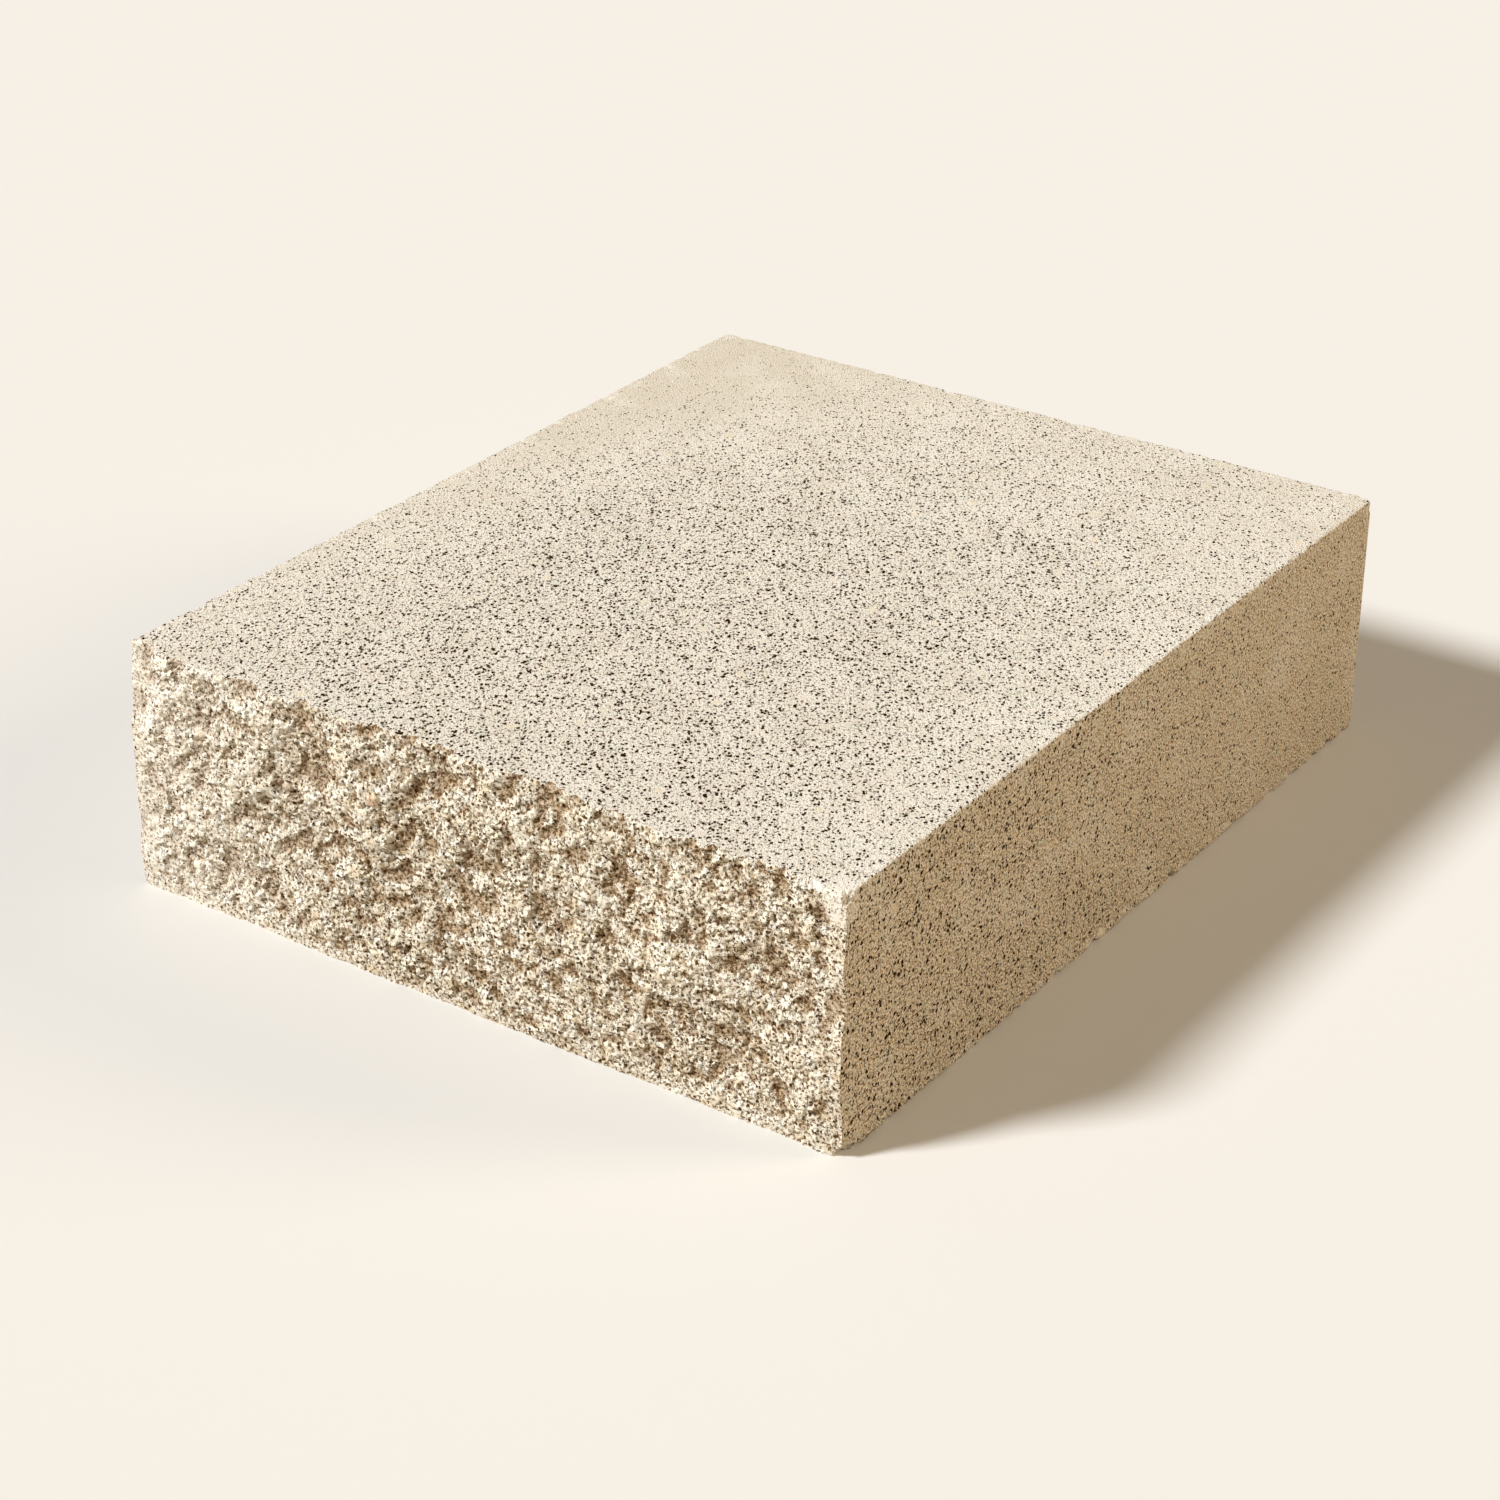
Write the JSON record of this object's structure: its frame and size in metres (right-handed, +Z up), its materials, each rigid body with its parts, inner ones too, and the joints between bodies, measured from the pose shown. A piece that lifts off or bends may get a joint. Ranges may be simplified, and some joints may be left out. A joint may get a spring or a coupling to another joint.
{
  "type": "split-face wall coping",
  "caption": "Rectangular concrete coping block that caps a masonry wall, with one rough split face towards the front and smooth pressed top, ends, back and bed.",
  "frame": {"origin": "middle of the bed face, halfway along the wall and halfway between the back and the mean plane of the break", "axes": "+Z up, +X along the wall to the right of someone who faces the split face, -Y out of the split face"},
  "size_m": [0.25, 0.3034, 0.08],
  "materials": {
    "concrete": "matt pressed concrete, warm cream, pitted on the moulded faces and crumbly on the split face"
  },
  "bodies": {
    "root": {"coping_block": "concrete"}
  },
  "joints": []
}
